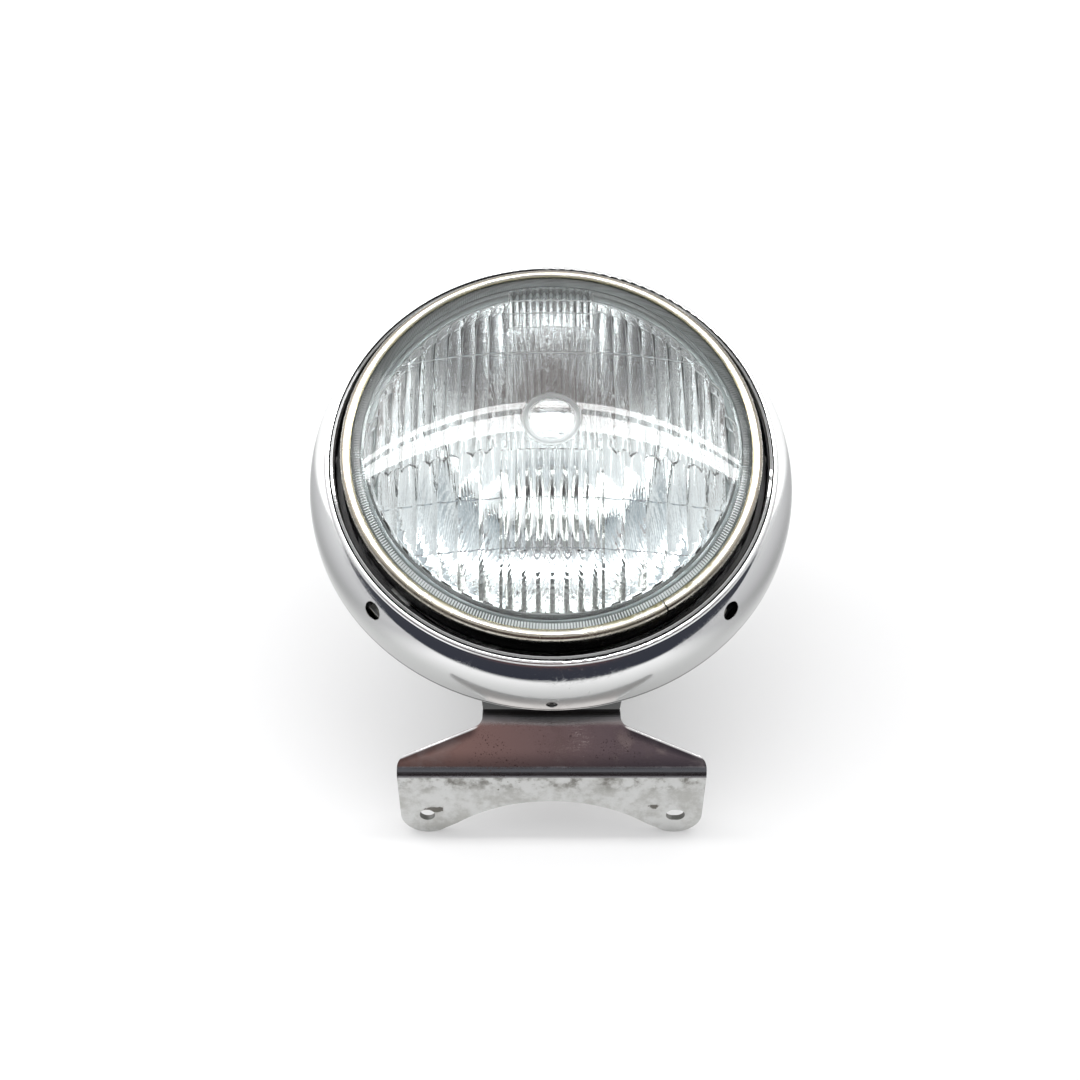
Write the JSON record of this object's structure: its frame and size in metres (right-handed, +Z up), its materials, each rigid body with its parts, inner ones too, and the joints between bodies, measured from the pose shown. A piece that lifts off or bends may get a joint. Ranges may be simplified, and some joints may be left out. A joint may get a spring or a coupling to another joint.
{
  "type": "motorcycle headlight",
  "caption": "Round chromed motorcycle headlight with fluted lens, aimable beam unit, domed case and forked mounting bracket, lying on its back.",
  "frame": {"origin": "on the surface it lies on, under the middle of its bounding box", "axes": "+Z up; -Y is the side of the mounting bracket, whose flange stands upright in the XZ plane; the beam leaves 27.5 degrees from +Z towards -Y; +X is to the right seen from the bracket's side"},
  "size_m": [0.2139, 0.2115, 0.1762],
  "materials": {
    "rim_chrome": "polished chrome plate",
    "case_chrome": "polished chrome plate",
    "bracket_chrome": "worn chrome plate",
    "ring_chrome": "plate with a warm tint",
    "lens_glass": "clear moulded glass",
    "reflector_mirror": "vacuum-coated mirror",
    "black_paint": "satin black paint",
    "black_steel": "black oxide",
    "zinc_steel": "zinc plate",
    "yellow_zinc": "yellow zinc plate",
    "spring_steel": "bright wire",
    "nylon": "natural nylon",
    "black_rubber": "moulded rubber",
    "grey_rubber": "pale grey rubber",
    "bulb_plate": "plated steel",
    "bulb_glass": "clear quartz",
    "bulb_metal": "bare metal"
  },
  "bodies": {
    "lamp_body": {"headlight_case": "case_chrome", "wiring_grommet": "black_rubber", "rim": "rim_chrome", "rim_lock_screw": "black_steel", "support_ring": "black_paint", "support_screws": "zinc_steel", "aim_pivot_screws": "zinc_steel", "bracket": "bracket_chrome", "bracket_bolts": "zinc_steel", "bracket_washers": "zinc_steel", "backing_plate": "zinc_steel", "bracket_nuts": "zinc_steel"},
    "gimbal": {"gimbal_ring": "black_paint", "horizontal_nut": "nylon"},
    "beam_unit": {"unit_ring": "zinc_steel", "unit_pivots": "zinc_steel", "retaining_ring": "ring_chrome", "ring_screws": "zinc_steel", "lens": "lens_glass", "lens_seal": "grey_rubber", "reflector": "reflector_mirror", "bulb_base": "bulb_plate", "bulb_glass": "bulb_glass", "bulb_shield": "bulb_metal", "bulb_filaments": "bulb_metal", "bulb_terminals": "bulb_plate", "bulb_clip": "spring_steel", "bulb_clip_screw": "zinc_steel", "dust_boot": "black_rubber", "vertical_nut": "nylon"},
    "horizontal_screw": {"horizontal_adjuster": "yellow_zinc", "horizontal_clip": "black_steel"},
    "vertical_screw": {"vertical_adjuster": "yellow_zinc", "vertical_clip": "black_steel"}
  },
  "joints": [
    {"name": "horizontal_aim", "type": "hinge", "parent": "lamp_body", "child": "gimbal", "pos_m": [0, -0.0012, 0.11944], "axis": [0, 0.887, 0.4617], "range_deg": [-2.5, 2.5]},
    {"name": "vertical_aim", "type": "hinge", "parent": "gimbal", "child": "beam_unit", "pos_m": [0, -0.0012, 0.11944], "axis": [1, 0, 0], "range_deg": [-3, 3]},
    {"name": "horizontal_adjuster_turn", "type": "hinge", "parent": "lamp_body", "child": "horizontal_screw", "pos_m": [0.06891, -0.05727, 0.08304], "axis": [0, -0.4617, 0.887], "range_deg": [-1550, 1550]},
    {"name": "vertical_adjuster_turn", "type": "hinge", "parent": "gimbal", "child": "vertical_screw", "pos_m": [-0.06891, -0.05727, 0.08304], "axis": [0, -0.4617, 0.887], "range_deg": [-1795, 1795]}
  ],
  "couplings": [
    {"joint": "horizontal_adjuster_turn", "follows": "horizontal_aim", "ratio": 618.5},
    {"joint": "vertical_adjuster_turn", "follows": "vertical_aim", "ratio": 597.3}
  ]
}
